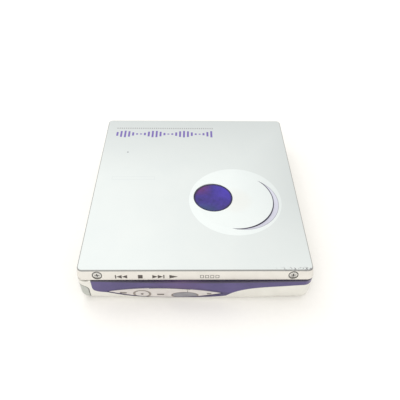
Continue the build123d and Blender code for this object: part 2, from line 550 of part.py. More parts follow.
def make_spindle():
    hub = (HUB_X, HUB_Y)
    stator = rod("z", hub, MOTOR_R, MOTOR_Z, DECK_Z) - rod("z", hub, SHAFT_R + RUN_FIT, MOTOR_Z + 0.4, 20)
    parts["spindle_motor"] = stator
    parts["spindle_shaft"] = rod("z", hub, SHAFT_R, MOTOR_Z + 0.6, TABLE_Z + TABLE_T + BOSS_T)
    table = rod("z", hub, TABLE_R, TABLE_Z, TABLE_Z + 0.35) + rod("z", hub, TABLE_R - 1.5, TABLE_Z, TABLE_Z + 0.8)
    table += ring("z", hub, TABLE_R, TABLE_R - 1.0, TABLE_Z, TABLE_Z + TABLE_T)
    table += rod("z", hub, BOSS_R, TABLE_Z, TABLE_Z + TABLE_T + BOSS_T)
    parts["turntable"] = table - rod("z", hub, SHAFT_R, 0, 20)
    top = TABLE_Z + 0.8
    parts["clamp_magnet"] = ring("z", hub, 4.6, BOSS_R, top, top + 0.4)


def make_pickup():
    x0, x1 = HUB_X - ROD_OFF - 1.7, HUB_X + ROD_OFF + 1.7
    body = block((x0, x1), (SLED_Y0, SLED_Y1), (SLED_Z0, SLED_Z1))
    for x in (HUB_X - ROD_OFF, HUB_X + ROD_OFF):
        body -= rod("y", (x, ROD_Z), ROD_R + RUN_FIT, -BIG, BIG)
    body -= block((HUB_X - 3.9, HUB_X + 3.9), (LENS_Y - 3.4, LENS_Y + 3.4), (SLED_Z1 - 1.4, BIG))
    parts["pickup_body"] = body
    base = block((HUB_X - 3.8, HUB_X + 3.8), (LENS_Y - 3.3, LENS_Y + 3.3), (SLED_Z1 - 1.4, SLED_Z1 - 0.7))
    for side in (-1, 1):
        y0, y1 = sorted((LENS_Y + side * 3.3, LENS_Y + side * 2.5))
        base += block((HUB_X - 3.0, HUB_X + 3.0), (y0, y1), (SLED_Z1 - 1.4, DECK_TOP + 0.1))
    parts["actuator_yoke"] = base
    rack_x = LEAD_X + LEAD_R + 0.1
    parts["sled_rack"] = block((rack_x, x0), (LENS_Y - 2.5, LENS_Y + 2.5), (LEAD_Z - 0.6, LEAD_Z + 0.6))
    holder = block((HUB_X - 3.2, HUB_X + 3.2), (LENS_Y - 2.1, LENS_Y + 2.1), (SLED_Z1 - 0.1, DECK_TOP + 0.2))
    seat = rod("z", (HUB_X, LENS_Y), 1.7, DECK_TOP - 0.3, 20)
    parts["lens_holder"] = holder - seat - rod("z", (HUB_X, LENS_Y), 1.1, 0, 20)
    dome = rod("z", (HUB_X, LENS_Y), 1.7, DECK_TOP - 0.3, DECK_TOP + 0.45)
    parts["objective_lens"] = fillet(dome.edges().sort_by(Axis.Z)[-1], 0.5)
    rods = [rod("y", (HUB_X + s * ROD_OFF, ROD_Z), ROD_R, SLED_Y0 - 1.6, FAR_TAB_Y + 1.2) for s in (-1, 1)]
    parts["guide_rods"] = group(rods)


def make_feed():
    lead, reduce, feed = (LEAD_X, LEAD_Z), (REDUCE_X, REDUCE_Z), (FEED_X, FEED_Z)
    screw_rod = rod("y", lead, LEAD_R, LEAD_GEAR_Y - 0.2, FAR_TAB_Y + 1.2)
    screw_rod += rod("y", lead, SMALL_PIN_R, BRACKET_Y, LEAD_GEAR_Y)
    for turn in range(int((FAR_TAB_Y - LEAD_GEAR_Y - 3) / LEAD_PITCH * 2)):
        start = LEAD_GEAR_Y + 2 + turn * LEAD_PITCH / 2
        screw_rod -= ring("y", lead, LEAD_R + 0.1, LEAD_R - 0.15, start, start + LEAD_PITCH / 4)
    parts["lead_screw"] = screw_rod
    parts["lead_gear"] = gear_y(GEAR_TEETH, lead, LEAD_R, LEAD_GEAR_Y, 180)
    small = gear_y(PINION_TEETH, reduce, SMALL_PIN_R + RUN_FIT, LEAD_GEAR_Y, 180 / PINION_TEETH)
    large = gear_y(GEAR_TEETH, reduce, SMALL_PIN_R + RUN_FIT, TRAIN_Y, 180)
    collar = ring("y", reduce, 0.75, SMALL_PIN_R + RUN_FIT, TRAIN_Y + GEAR_WIDE - 0.1, LEAD_GEAR_Y + 0.1)
    parts["reduction_gear"] = small + large + collar
    pinion = gear_y(PINION_TEETH, feed, SMALL_PIN_R, TRAIN_Y, 180 / PINION_TEETH)
    shaft = rod("y", feed, SMALL_PIN_R, BRACKET_Y - 1.5, TRAIN_Y + GEAR_WIDE + 0.3)
    parts["motor_pinion"] = pinion + shaft
    bracket = block((FEED_X - 2.6, LEAD_X + 1.2), (BRACKET_Y, BRACKET_Y + BRACKET_T), (LEAD_Z - 1.3, DECK_Z))
    bracket -= rod("y", lead, SMALL_PIN_R + RUN_FIT, -9, 9) + rod("y", feed, SMALL_PIN_R + 0.2, -9, 9)
    bracket += rod("y", reduce, SMALL_PIN_R, BRACKET_Y, LEAD_GEAR_Y + GEAR_WIDE + 0.3)
    parts["gear_bracket"] = bracket
    can = rod("y", feed, FEED_R, BRACKET_Y - FEED_LONG, BRACKET_Y)
    parts["sled_motor"] = can - rod("y", feed, SMALL_PIN_R + RUN_FIT, BRACKET_Y - 1.7, 9)


# ---------------------------------------------------------------- side fittings
def make_jack():
    y1 = HALF_Y - WALL
    half = JACK_WIDE / 2
    low = JACK_Z - JACK_HIGH / 2
    body = block((JACK_X - half, JACK_X + half), (y1 - 14.0, y1 - 0.15), (low, low + JACK_HIGH))
    body += rod("y", (JACK_X, JACK_Z), JACK_NOSE_R, y1 - JACK_NOSE_IN, HALF_Y)
    bore = rod("y", (JACK_X, JACK_Z), JACK_R, HALF_Y - JACK_DEEP, BIG)
    parts["headphone_jack"] = body - bore


def knob_y(at, z, long, high, stem_in):
    """The OPEN knob on the +X side: a rounded plate on a stem that goes in to stem_in."""
    face = Pos(at, z) * RectangleRounded(long, high, high * 0.3)
    plate = prism_x(face, HALF_X + KNOB_OFF, HALF_X + KNOB_PROUD)
    stem = block((stem_in, HALF_X + KNOB_OFF), (at - STEM_LONG / 2, at + STEM_LONG / 2),
                 (z - STEM_HIGH / 2, z + STEM_HIGH / 2))
    return plate + stem


def make_sliders():
    inner = HALF_X - WALL
    slide_x = (inner - 0.6, inner - 0.2)
    parts["open_knob"] = knob_y(OPEN_Y, OPEN_Z, OPEN_LONG, OPEN_HIGH, slide_x[1])
    slide = block(slide_x, (OPEN_Y - 6, LOCK_END), (OPEN_Z - 1.2, OPEN_Z + 1.2))
    slide += block(slide_x, (LOCK_END - 0.8, LOCK_END), (OPEN_Z - 1.2, CASE_TOP - 0.6))
    parts["lock_slide"] = slide
    spring_at = ((slide_x[0] + slide_x[1]) / 2, OPEN_Z)
    parts["latch_spring"] = ring("y", spring_at, LATCH_SPRING_R, LATCH_SPRING_R - 0.15, OPEN_Y - 14.0,
                                 OPEN_Y - 6.3)

    face = Pos(HOLD_X, HOLD_Z) * RectangleRounded(HOLD_LONG, HOLD_HIGH, HOLD_HIGH * 0.3)
    hold = prism_y(face, HALF_Y + KNOB_OFF, HALF_Y + KNOB_PROUD)
    hold += block((HOLD_X - STEM_LONG / 2, HOLD_X + STEM_LONG / 2), (HALF_Y - WALL - 0.3, HALF_Y + KNOB_OFF),
                  (HOLD_Z - STEM_HIGH / 2, HOLD_Z + STEM_HIGH / 2))
    parts["hold_knob"] = hold
    y1 = HALF_Y - WALL - 0.4
    parts["hold_switch"] = block((HOLD_X - 4, HOLD_X + 6), (y1 - 1.0, y1), (HOLD_Z - 1.6, HOLD_Z + 1.6))
    top = SLOT_BOTTOM - 0.1
    parts["disc_detect_pin"] = rod("z", (DETECT_X, DETECT_Y), DETECT_R, DECK_Z - 1.0, top)
    switch = block((DETECT_X - 2, DETECT_X + 2), (DETECT_Y - 2, DETECT_Y + 2), (DECK_Z - 2.6, DECK_Z))
    room = rod("z", (DETECT_X, DETECT_Y), DETECT_R + RUN_FIT, DECK_Z - 1.0 - DETECT_TRAVEL - 0.2, BIG)
    parts["detect_switch"] = switch - room


# ---------------------------------------------------------------- lid
def scoop_cuts():
    """The shallow dish round the window, the sloped crescent beside it and its fine groove."""
    ball_r = (SCOOP_R ** 2 + SCOOP_DEPTH ** 2) / (2 * SCOOP_DEPTH)
    dish = Pos(SCOOP_X, SCOOP_Y, HEIGHT + ball_r - SCOOP_DEPTH) * Sphere(ball_r)
    dish &= block((-30, 36), (-36, 30), (HEIGHT - 2, HEIGHT + 1))
    half = math.radians(CRESCENT_HALF)
    reach = SCOOP_R + CRESCENT_WIDTH
    shift = (reach ** 2 - SCOOP_R ** 2) / (2 * (reach - SCOOP_R * math.cos(half)))
    outer_r = reach - shift
    aim = math.radians(CRESCENT_AIM)
    centre = (SCOOP_X + shift * math.cos(aim), SCOOP_Y + shift * math.sin(aim))
    slope = CRESCENT_DEPTH / CRESCENT_WIDTH
    deep, above = CRESCENT_DEPTH + 0.1, 0.1
    cone = Cone(outer_r - deep / slope, outer_r + above / slope, deep + above)
    cone = Pos(*centre, HEIGHT + (above - deep) / 2) * cone
    crescent = cone - rod("z", (SCOOP_X, SCOOP_Y), SCOOP_R, 0, BIG)
    floor = HEIGHT - CRESCENT_DEPTH - GROOVE_DEEP
    groove = ring("z", (SCOOP_X, SCOOP_Y), SCOOP_R + GROOVE_WIDE, SCOOP_R, floor, HEIGHT + 1)
    groove &= rod("z", centre, outer_r - 0.4, 0, BIG)
    return dish, crescent + groove


def lid_screw_places():
    return [(x, side) for x in (-LID_SCREW_X, LID_SCREW_X) for side in (-1, 1)]


def make_lid():
    outer = lid_form(0, HEIGHT)
    outer = fillet(outer.faces().sort_by(Axis.Z)[-1].edges(), LID_EDGE_R)
    lid = outer - lid_form(LID_WALL, HEIGHT - LID_TOP)
    pad = rod("z", (SCOOP_X, SCOOP_Y), SCOOP_R + CRESCENT_WIDTH + PAD_WALL, PAD_Z, HEIGHT - LID_TOP + 0.1)
    window = (WINDOW_X, WINDOW_Y)
    lid += pad
    ledge_z = HEIGHT - WINDOW_SINK - WINDOW_T - GASKET_T
    dish, crescent = scoop_cuts()
    lid = lid - dish - crescent
    lid -= rod("z", window, WINDOW_R, ledge_z, BIG)
    lid -= rod("z", window, WINDOW_R - WINDOW_LEDGE, 0, BIG)
    lid -= hinge_side_cut()
    lid -= eye_room()
    lid -= block((HALF_X - 3.0, BIG), (-MOUTH_HALF - RETURN_GAP, MOUTH_HALF + RETURN_GAP),
                 (0, HEIGHT - LID_TOP))
    screws = []
    face_y = HALF_Y - (SCREW_Z - FOOT) * LEAN
    for x, side in lid_screw_places():
        seat = rod("y", (x, SCREW_Z), SCREW_SEAT_R, face_y - SEAT_DEEP, BIG)
        hole = rod("y", (x, SCREW_Z), SCREW_SHANK_R, FRAME_Y - 1, BIG)
        cut = seat + hole
        lid -= cut if side > 0 else far_copy(cut)
        piece = Pos(x, face_y - SEAT_DEEP + SCREW_HEAD_T, SCREW_Z) * (Rot(-90, 0, 0) * screw(
            SCREW_HEAD_R, SCREW_HEAD_T, SCREW_SHANK_R, face_y - SEAT_DEEP - FRAME_Y))
        screws.append(piece if side > 0 else far_copy(piece))
    parts["lid_panel"], parts["lid_screws"] = lid, group(screws)
    parts["window_gasket"] = ring("z", window, WINDOW_R, WINDOW_R - WINDOW_LEDGE, ledge_z, ledge_z + GASKET_T)
    parts["window_lens"] = rod("z", window, WINDOW_R - 0.02, ledge_z + GASKET_T, ledge_z + GASKET_T + WINDOW_T)


def hinge_side_cut():
    """The skirt is shorter along the hinge side, with a rounded step at each end."""
    step = -HALF_X + HINGE_SKIRT_IN
    face = outline((-BIG, 0), (step, 0), (step, FOOT + HINGE_SKIRT_UP), (-BIG, FOOT + HINGE_SKIRT_UP))
    corner = face.vertices().group_by(Axis.X)[-1].sort_by(Axis.Y)[-1]
    return prism_y(fillet(corner, HINGE_SKIRT_UP * 0.9), -BIG, BIG)


def lid_rail(side):
    """A steel rail inside one skirt, with the hinge eye at its end and bosses for two screws."""
    y0, y1 = FRAME_Y, FRAME_Y + FRAME_T
    top = HEIGHT - LID_TOP - 0.15
    rail = block((-LID_SCREW_X - 3.5, LID_SCREW_X + 3.1), (y0, y1), (HINGE_Z + 0.2, top))
    rail += rod("y", (HINGE_X, HINGE_Z), HINGE_EYE_R, y1 - EYE_WIDE, y1)
    arm_x, arm_z = HINGE_X + 2.6, (HINGE_Z + 0.6, top - 0.8)
    arm = outline((HINGE_X - 0.5, HINGE_Z), (HINGE_X + HINGE_EYE_R, HINGE_Z), (arm_x, arm_z[0]),
                  (arm_x, arm_z[1]), (HINGE_X - 0.3, HINGE_Z + 1.6))
    rail += prism_y(arm, y1 - EYE_WIDE, y1)
    rail -= rod("y", (HINGE_X, HINGE_Z), HINGE_PIN_R + RUN_FIT, 0, BIG)
    skirt_in = HALF_Y - LID_WALL - (SCREW_Z + 1.0 - FOOT) * LEAN - 0.02
    for x in (-LID_SCREW_X, LID_SCREW_X):
        rail += rod("y", (x, SCREW_Z), 1.0, y0, skirt_in)
        rail -= rod("y", (x, SCREW_Z), SCREW_SHANK_R, 0, BIG)
    rail += block((-20.0, 20.0), (HOLDER_HALF + HOLDER_T, y1), (SLOT_TOP, SLOT_TOP + HOLDER_T))
    return rail if side > 0 else far_copy(rail)


def make_holder():
    parts["lid_rails"] = group([lid_rail(1), lid_rail(-1)])
    out = HOLDER_HALF + HOLDER_T
    tray = block((HOLDER_LEFT, MOUTH_END), (-out, out), (SLOT_BOTTOM - RAIL_T, SLOT_TOP))
    tray -= block((HOLDER_LEFT + HOLDER_T, BIG), (-HOLDER_HALF, HOLDER_HALF), (SLOT_BOTTOM, BIG))
    open_y = HOLDER_HALF - RAIL_WIDE
    tray -= block((HOLDER_LEFT + HOLDER_T, BIG), (-open_y, open_y), (0, BIG))
    parts["cartridge_holder"] = tray
    top = block((HOLDER_LEFT, MOUTH_END), (-out, out), (SLOT_TOP, SLOT_TOP + HOLDER_T))
    for x in (-24.0, -12.0, 24.0):
        for y in (-22.0, 0.0, 22.0):
            top -= rod("z", (x, y), 2.0, 0, 30)
    parts["holder_top"] = top
    z = SLOT_TOP + HOLDER_T
    gap = HEIGHT - LID_TOP - z
    leaf = outline((0, z), (2, z), (7, z + gap - 0.15), (12, z), (14, z), (14, z + 0.1), (12, z + 0.1),
                   (7, z + gap - 0.03), (2, z + 0.1), (0, z + 0.1))
    parts["holder_springs"] = group([prism_y(Pos(-29, 0) * leaf, y - 2, y + 2) for y in (-27.0, 27.0)])


def make_hinge_pins():
    outer = FRAME_Y + FRAME_T
    pin = rod("y", (HINGE_X, HINGE_Z), HINGE_PIN_R, outer - 2 * EYE_WIDE - 0.1, outer)
    parts["hinge_pins"] = group([pin, far_copy(pin)])


# ---------------------------------------------------------------- build and write
blank = make_lower_body()
make_keys(blank)
make_key_board()
make_battery()
make_deck()
make_boards()
make_spindle()
make_pickup()
make_feed()
make_jack()
make_sliders()
make_lid()
make_holder()
make_hinge_pins()

os.makedirs("parts", exist_ok=True)
for name, shape in parts.items():
    export_step(shape, f"parts/{name}.step")
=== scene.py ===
import json
import math

import bmesh
import bpy
from mathutils import Matrix, Vector
from mathutils.bvhtree import BVHTree


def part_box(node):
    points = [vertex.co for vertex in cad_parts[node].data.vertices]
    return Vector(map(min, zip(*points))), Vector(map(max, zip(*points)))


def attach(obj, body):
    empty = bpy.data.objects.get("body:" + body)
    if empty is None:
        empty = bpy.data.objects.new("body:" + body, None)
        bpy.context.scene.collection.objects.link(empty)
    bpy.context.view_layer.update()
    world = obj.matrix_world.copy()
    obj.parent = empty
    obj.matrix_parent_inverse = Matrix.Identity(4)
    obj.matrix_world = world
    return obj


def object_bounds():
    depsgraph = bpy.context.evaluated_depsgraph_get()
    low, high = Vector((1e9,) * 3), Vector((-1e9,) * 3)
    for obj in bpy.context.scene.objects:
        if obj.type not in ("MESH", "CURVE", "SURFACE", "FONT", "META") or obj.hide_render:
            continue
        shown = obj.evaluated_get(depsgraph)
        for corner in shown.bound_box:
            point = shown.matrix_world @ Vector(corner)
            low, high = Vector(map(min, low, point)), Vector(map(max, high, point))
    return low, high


# Looks for the pocket cartridge disc player. Metres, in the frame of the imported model:
# +Z up, -Y the key side, +X the mouth side. MM turns a size in millimetres into metres.
MM = 0.001

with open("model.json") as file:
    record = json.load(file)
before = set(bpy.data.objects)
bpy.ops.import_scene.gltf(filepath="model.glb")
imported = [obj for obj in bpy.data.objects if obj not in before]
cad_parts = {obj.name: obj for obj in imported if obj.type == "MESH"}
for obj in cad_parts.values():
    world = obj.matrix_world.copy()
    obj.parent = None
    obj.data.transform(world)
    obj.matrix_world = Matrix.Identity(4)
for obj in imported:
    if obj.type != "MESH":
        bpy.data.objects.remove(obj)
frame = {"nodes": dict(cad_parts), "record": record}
CAD_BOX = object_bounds()
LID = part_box("lid_panel")
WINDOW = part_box("window_lens")

# ---------------------------------------------------------------- sizes and places
SCOOP_OFF = (7.8 * MM, -1.5 * MM)  # scoop's centre from the window's
SCOOP_R = 13.4 * MM
CRESCENT_OFF = (2.494 * MM, -1.163 * MM)  # the crescent's outer circle from the scoop's centre
CRESCENT_R = 12.648 * MM
PRINT_T = 0.02 * MM
PRINT_Z = LID[0][2] + 1.3 * MM  # middle of the printed symbols on the skirt
PRINT_HIGH = 1.4 * MM
DOOR_CORNER = 1.6 * MM
GAP_LINE = 0.26 * MM  # width of the dark line round the battery door
# Each round key's node, the width of the dark line round it and its height over its width.
KEY_RINGS = (("stop_key", 0.5 * MM, 0.71), ("play_key", 0.2 * MM, 0.41))

# Where the camera stands and how it is turned, from the fit to the lid's corners.
CAMERA_AT = (-1.246 * MM, -118.369 * MM, LID[1][2] + 111.548 * MM)
CAMERA_YAW, CAMERA_PITCH, CAMERA_ROLL = 0.02696, 0.794468, 0.02032
CAMERA_LENS = 39.68

window_mid = [(a + b) / 2 for a, b in zip(*WINDOW)]
scoop_mid = (window_mid[0] + SCOOP_OFF[0], window_mid[1] + SCOOP_OFF[1])
crescent_mid = (scoop_mid[0] + CRESCENT_OFF[0], scoop_mid[1] + CRESCENT_OFF[1])


# ---------------------------------------------------------------- node helpers
class Shader:
    """A material under construction: short names for the nodes that the finishes share."""

    def __init__(self, name):
        self.material = bpy.data.materials.new(name)
        self.material.use_nodes = True
        self.tree = self.material.node_tree
        self.principled = self.tree.nodes["Principled BSDF"]
        self.place = self.tree.nodes.new("ShaderNodeTexCoord").outputs["Object"]

    def link(self, value, socket):
        if hasattr(value, "links"):
            self.tree.links.new(value, socket)
        else:
            socket.default_value = value

    def set(self, **values):
        for key, value in values.items():
            self.link(value, self.principled.inputs[key.replace("_", " ")])

    def math(self, operation, a, b=0.0, clamp=False):
        node = self.tree.nodes.new("ShaderNodeMath")
        node.operation, node.use_clamp = operation, clamp
        self.link(a, node.inputs[0])
        self.link(b, node.inputs[1])
        return node.outputs[0]

    def axes(self):
        node = self.tree.nodes.new("ShaderNodeSeparateXYZ")
        self.link(self.place, node.inputs[0])
        return node.outputs

    def noise(self, size, detail=3.0, rough=0.55, stretch=None):
        """Noise whose features are about size across, stretched along the axes if asked."""
        place = self.place
        if stretch:
            node = self.tree.nodes.new("ShaderNodeMapping")
            node.inputs["Scale"].default_value = stretch
            self.link(place, node.inputs["Vector"])
            place = node.outputs[0]
        node = self.tree.nodes.new("ShaderNodeTexNoise")
        node.inputs["Scale"].default_value = 1 / size
        node.inputs["Detail"].default_value = detail
        node.inputs["Roughness"].default_value = rough
        self.link(place, node.inputs["Vector"])
        return node.outputs["Fac"]

    def ramp(self, value, low, high, start=0.0, end=1.0):
        """value mapped from low..high to start..end and held there outside it."""
        node = self.tree.nodes.new("ShaderNodeMapRange")
        for socket, item in zip(("Value", "From Min", "From Max", "To Min", "To Max"),
                                (value, low, high, start, end)):
            self.link(item, node.inputs[socket])
        return node.outputs[0]

    def mix(self, factor, a, b):
        node = self.tree.nodes.new("ShaderNodeMix")
        node.data_type = "RGBA"
        self.link(factor, node.inputs["Factor"])
        self.link(a, node.inputs[6])
        self.link(b, node.inputs[7])
        return node.outputs[2]

    def bump(self, height, distance, strength=1.0):
        node = self.tree.nodes.new("ShaderNodeBump")
        node.inputs["Distance"].default_value = distance
        node.inputs["Strength"].default_value = strength
        self.link(height, node.inputs["Height"])
        self.link(node.outputs[0], self.principled.inputs["Normal"])

    def inside_circle(self, middle, radius, soft=0.03 * MM):
        x, y, _ = self.axes()
        dx, dy = self.math("SUBTRACT", x, middle[0]), self.math("SUBTRACT", y, middle[1])
        squares = self.math("ADD", self.math("MULTIPLY", dx, dx), self.math("MULTIPLY", dy, dy))
        return self.ramp(self.math("SQRT", squares), radius + soft, radius - soft)

    def band(self, value, low, high, soft=0.02 * MM):
        """1 where value is between low and high, with soft edges."""
        rise = self.ramp(value, low - soft, low + soft)
        return self.math("MULTIPLY", rise, self.ramp(value, high + soft, high - soft))

    def rectangle(self, u, v, middle, size, soft=0.06 * MM):
        """1 inside a rectangle of the given size, over two coordinates."""
        spans = [self.band(value, at - half / 2, at + half / 2, soft)
                 for value, at, half in zip((u, v), middle, size)]
        return self.math("MULTIPLY", *spans)

    def ellipse(self, u, v, middle, half):
        """How far out a point is, as a share of an ellipse's own radius."""
        squares = []
        for value, at, reach in zip((u, v), middle, half):
            share = self.math("DIVIDE", self.math("SUBTRACT", value, at), reach)
            squares.append(self.math("MULTIPLY", share, share))
        return self.math("SQRT", self.math("ADD", *squares))


def rgb(red, green, blue):
    return (red, green, blue, 1.0)


def mottled(shader, base, other, size):
    """Colour that drifts between two close shades."""
    return shader.mix(shader.ramp(shader.noise(size), 0.35, 0.65), base, other)


# ---------------------------------------------------------------- finishes
def lid_paint():
    s = Shader("lid_paint")
    x, y, z = s.axes()
    fine = s.noise(0.16 * MM, 2.0)
    top_z = LID[1][2]
    drift = s.ramp(s.noise(14 * MM), 0.3, 0.7)
    top = s.mix(drift, rgb(0.75, 0.80, 0.80), rgb(0.775, 0.82, 0.815))
    # Painted shade: the top darkens towards the far side and the right, where the light falls off.
    towards_far = s.ramp(y, 4 * MM, LID[1][1], 0.0, 0.85)
    towards_right = s.ramp(x, 12 * MM, LID[1][0], 0.0, 0.75)
    far = s.math("MAXIMUM", towards_far, towards_right)
    top = s.mix(s.math("MULTIPLY", far, s.ramp(y, LID[0][1], -8 * MM)), top, rgb(0.60, 0.645, 0.65))
    # Painted shade: the skirt gets a warmer, darker grey than the top of the same panel.
    side = mottled(s, rgb(0.70, 0.675, 0.625), rgb(0.74, 0.715, 0.665), 5 * MM)
    colour = s.mix(s.ramp(z, top_z - 0.5 * MM, top_z - 0.25 * MM), side, top)
    # Painted shade: a dark line round the lid's top edge, where it turns down into the skirt, kept clear of
    # the scoop.
    rim = s.band(z, top_z - 0.44 * MM, top_z - 0.02 * MM, 0.03 * MM)
    clear_of_scoop = s.math("SUBTRACT", 1.0, s.inside_circle(scoop_mid, SCOOP_R + 3 * MM))
    rim = s.math("MULTIPLY", rim, clear_of_scoop)
    colour = s.mix(s.math("MULTIPLY", rim, 0.9), colour, rgb(0.20, 0.20, 0.19))
    colour = s.mix(s.ramp(fine, 0.45, 0.75, 0.0, 0.12), colour, rgb(0.58, 0.63, 0.65))

    on_top = s.ramp(z, top_z - 0.72 * MM, top_z - 0.70 * MM)
    # Painted shade: the crescent of the scoop's sloping wall is coloured a darker lavender-grey.
    outside = s.math("SUBTRACT", 1.0, s.inside_circle(scoop_mid, SCOOP_R + 0.1 * MM))
    crescent = s.math("MULTIPLY", outside, s.inside_circle(crescent_mid, CRESCENT_R))
    crescent = s.math("MULTIPLY", crescent, on_top)
    colour = s.mix(crescent, colour, rgb(0.56, 0.565, 0.66))
    # Painted shadow: a dark line at the scoop's inner step and a fainter one where its crescent meets the
    # lid.
    inner_line = s.math("SUBTRACT", s.inside_circle(scoop_mid, SCOOP_R + 0.36 * MM),
                        s.inside_circle(scoop_mid, SCOOP_R - 0.04 * MM))
    inner_line = s.math("MULTIPLY", inner_line, s.inside_circle(crescent_mid, CRESCENT_R + 0.2 * MM))
    outline = s.math("SUBTRACT", s.inside_circle(crescent_mid, CRESCENT_R + 0.14 * MM),
                     s.inside_circle(crescent_mid, CRESCENT_R - 0.05 * MM))
    outline = s.math("MULTIPLY", s.math("MULTIPLY", outline, outside), 0.6)
    scoop_shadow_lines = s.math("MULTIPLY", s.math("MAXIMUM", inner_line, outline), on_top)
    colour = s.mix(scoop_shadow_lines, colour, rgb(0.10, 0.09, 0.14))

    for mask, shade in lid_marks(s, x, y):
        colour = s.mix(s.math("MULTIPLY", mask, on_top), colour, shade)
    chips = lid_wear(s, x, y, z)
    colour = s.mix(chips, colour, rgb(0.20, 0.20, 0.21))
    colour = s.mix(screw_seats(s, x, z), colour, rgb(0.045, 0.042, 0.04))
    s.set(Base_Color=colour, Metallic=0.15, Coat_Weight=0.15, Coat_Roughness=0.2)
    s.set(Roughness=s.ramp(fine, 0.3, 0.7, 0.38, 0.48))
    s.bump(s.math("SUBTRACT", s.math("MULTIPLY", fine, 0.25), chips), 0.02 * MM, 0.5)
    return s.material


def screw_places():
    """The lid screws' middles in (x, z)."""
    low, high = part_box("lid_screws")
    reach = (high[2] - low[2]) / 2
    return [(low[0] + reach, low[2] + reach), (high[0] - reach, low[2] + reach)], reach


def screw_seats(s, x, z):
    """The shadowed wall between each screw's head and its seat."""
    places, reach = screw_places()
    ring = 0.0
    for place in places:
        out = s.ellipse(x, z, place, (reach, reach))
        ring = s.math("MAXIMUM", ring, s.band(out, 0.9, 1.2, 0.03))
    return ring


def lid_marks(s, x, y):
    """Generic decoration: a run of violet bars like a level meter, a dotted line and a faint pill."""
    far = LID[1][1]
    left = LID[0][0]
    start, pitch, count = left + 4.6 * MM, 1.62 * MM, 25
    middle = far - 10.4 * MM
    across = s.math("SUBTRACT", x, start)
    step = s.math("DIVIDE", across, pitch)
    inside = s.band(x, start, start + pitch * count)
    stripe = s.band(s.math("FRACT", step), 0.12, 0.62, 0.03)
    wave = s.math("ADD", s.math("SINE", s.math("MULTIPLY", s.math("FLOOR", step), 0.83)), 1.35)
    tall = s.math("MULTIPLY", wave, 0.95 * MM)
    height = s.math("ABSOLUTE", s.math("SUBTRACT", y, middle))
    bars = s.ramp(s.math("SUBTRACT", height, tall), 0.04 * MM, -0.04 * MM)
    bars = s.math("MULTIPLY", s.math("MULTIPLY", bars, stripe), inside)
    dots = s.math("MULTIPLY", s.band(s.math("FRACT", s.math("DIVIDE", across, 0.9 * MM)), 0.15, 0.7, 0.04),
                  s.band(y, far - 6.9 * MM, far - 6.1 * MM))
    dots = s.math("MULTIPLY", dots, inside)
    pill_y, pill_x = far - 37.3 * MM, left + 14.3 * MM
    pill = s.math("MULTIPLY", s.band(y, pill_y - 0.9 * MM, pill_y + 0.9 * MM),
                  s.band(x, pill_x - 8.0 * MM, pill_x + 8.0 * MM))
    inner = s.math("MULTIPLY", s.band(y, pill_y - 0.6 * MM, pill_y + 0.6 * MM),
                   s.band(x, pill_x - 7.7 * MM, pill_x + 7.7 * MM))
    pill = s.math("MULTIPLY", s.math("SUBTRACT", pill, inner), 0.35)
    speck = s.inside_circle((left + 10.7 * MM, far - 22.2 * MM), 0.34 * MM, 0.12 * MM)
    return ((bars, rgb(0.16, 0.11, 0.40)), (dots, rgb(0.36, 0.37, 0.38)), (pill, rgb(0.58, 0.62, 0.63)),
            (speck, rgb(0.28, 0.29, 0.32)))


def lid_wear(s, x, y, z):
    """Paint chipped along the near edge towards the right corner."""
    near = s.ramp(y, LID[0][1] + 2.1 * MM, LID[0][1] + 1.5 * MM)
    right = s.ramp(x, LID[1][0] - 13 * MM, LID[1][0] - 8 * MM)
    edge = s.math("MULTIPLY", near, right)
    edge = s.math("MULTIPLY", edge, s.ramp(z, LID[1][2] - 0.6 * MM, LID[1][2] - 0.3 * MM))
    patches = s.ramp(s.noise(0.8 * MM, 4.0, 0.7), 0.50, 0.56)
    return s.math("MULTIPLY", edge, patches)


def silver_case():
    s = Shader("case_silver")
    x, y, z = s.axes()
    grain = s.noise(0.14 * MM, 2.0)
    colour = mottled(s, rgb(0.68, 0.67, 0.62), rgb(0.735, 0.725, 0.675), 6 * MM)
    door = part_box("battery_door")
    over = [s.math("MAXIMUM", s.math("SUBTRACT", value, limit - DOOR_CORNER), 0.0)
            for value, limit in ((x, door[1][0]), (z, door[1][2]))]
    squares = s.math("ADD", *[s.math("MULTIPLY", value, value) for value in over])
    out = s.math("SUBTRACT", s.math("SQRT", squares), DOOR_CORNER)
    beside_door = s.ramp(y, door[1][1], door[1][1] - 1 * MM)
    line = s.math("MULTIPLY", s.band(out, 0.0, GAP_LINE, 0.04 * MM), beside_door)
    colour = s.mix(line, colour, rgb(0.06, 0.055, 0.05))
    s.set(Base_Color=colour, Metallic=0.2)
    s.set(Roughness=s.ramp(grain, 0.3, 0.7, 0.34, 0.44), Coat_Weight=0.2, Coat_Roughness=0.2)
    s.bump(grain, 0.012 * MM, 0.5)
    return s.material


def door_silver():
    s = Shader("door_silver")
    grain = s.noise(0.14 * MM, 2.0)
    s.set(Base_Color=mottled(s, rgb(0.42, 0.44, 0.405), rgb(0.48, 0.495, 0.46), 5 * MM), Metallic=0.2)
    s.set(Roughness=s.ramp(grain, 0.3, 0.7, 0.38, 0.48))
    s.bump(grain, 0.012 * MM, 0.5)
    return s.material


